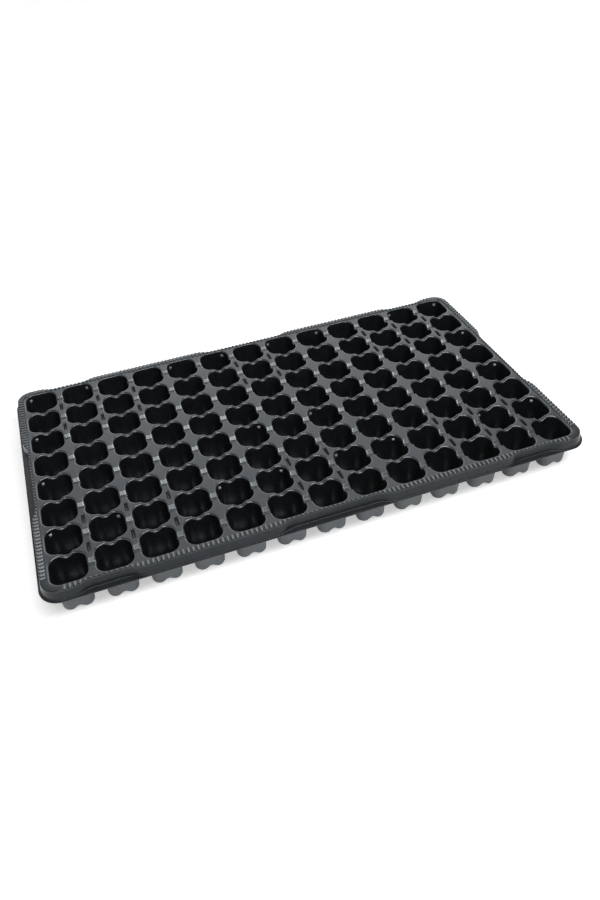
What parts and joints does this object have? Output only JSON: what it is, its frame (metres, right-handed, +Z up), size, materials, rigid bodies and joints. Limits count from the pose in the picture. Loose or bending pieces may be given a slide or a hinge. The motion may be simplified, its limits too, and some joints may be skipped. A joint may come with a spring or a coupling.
{
  "type": "plug tray",
  "caption": "Seedling plug tray: a grid of tapered open cups with drain holes and corner feet, hanging from one web inside a ribbed, flanged rim.",
  "frame": {"origin": "middle of the tray's footprint, at ground level under the feet of the cups", "axes": "+X along the tray's long side, +Y to its back, +Z up out of the cups"},
  "size_m": [0.53, 0.31, 0.04],
  "materials": {
    "black_plastic": "thermoformed black polystyrene sheet, satin, with faint draw marks"
  },
  "bodies": {
    "root": {"cup_walls_01": "black_plastic", "cup_walls_02": "black_plastic", "cup_walls_03": "black_plastic", "cup_walls_04": "black_plastic", "cup_walls_05": "black_plastic", "cup_walls_06": "black_plastic", "cup_walls_07": "black_plastic", "cup_walls_08": "black_plastic", "cup_walls_09": "black_plastic", "cup_walls_10": "black_plastic", "cup_walls_11": "black_plastic", "cup_walls_12": "black_plastic", "cup_walls_13": "black_plastic", "cup_bases_01": "black_plastic", "cup_bases_02": "black_plastic", "cup_bases_03": "black_plastic", "cup_bases_04": "black_plastic", "cup_bases_05": "black_plastic", "cup_bases_06": "black_plastic", "cup_bases_07": "black_plastic", "cup_bases_08": "black_plastic", "cup_bases_09": "black_plastic", "cup_bases_10": "black_plastic", "cup_bases_11": "black_plastic", "cup_bases_12": "black_plastic", "cup_bases_13": "black_plastic", "web_pads_01": "black_plastic", "web_pads_02": "black_plastic", "web_pads_03": "black_plastic", "web_pads_04": "black_plastic", "web_pads_05": "black_plastic", "web_pads_06": "black_plastic", "web_pads_07": "black_plastic", "web_pads_08": "black_plastic", "web_pads_09": "black_plastic", "web_pads_10": "black_plastic", "web_pads_11": "black_plastic", "web_pads_12": "black_plastic", "web_pads_13": "black_plastic", "web_pads_14": "black_plastic", "long_saddles": "black_plastic", "cross_saddles": "black_plastic", "pad_troughs": "black_plastic", "stacking_lugs": "black_plastic", "rim_bead_front": "black_plastic", "rim_bead_right": "black_plastic", "rim_bead_back": "black_plastic", "rim_bead_left": "black_plastic", "rim_skirt_front": "black_plastic", "rim_skirt_right": "black_plastic", "rim_skirt_back": "black_plastic", "rim_skirt_left": "black_plastic", "rim_lip_front": "black_plastic", "rim_lip_right": "black_plastic", "rim_lip_back": "black_plastic", "rim_lip_left": "black_plastic"}
  },
  "joints": []
}
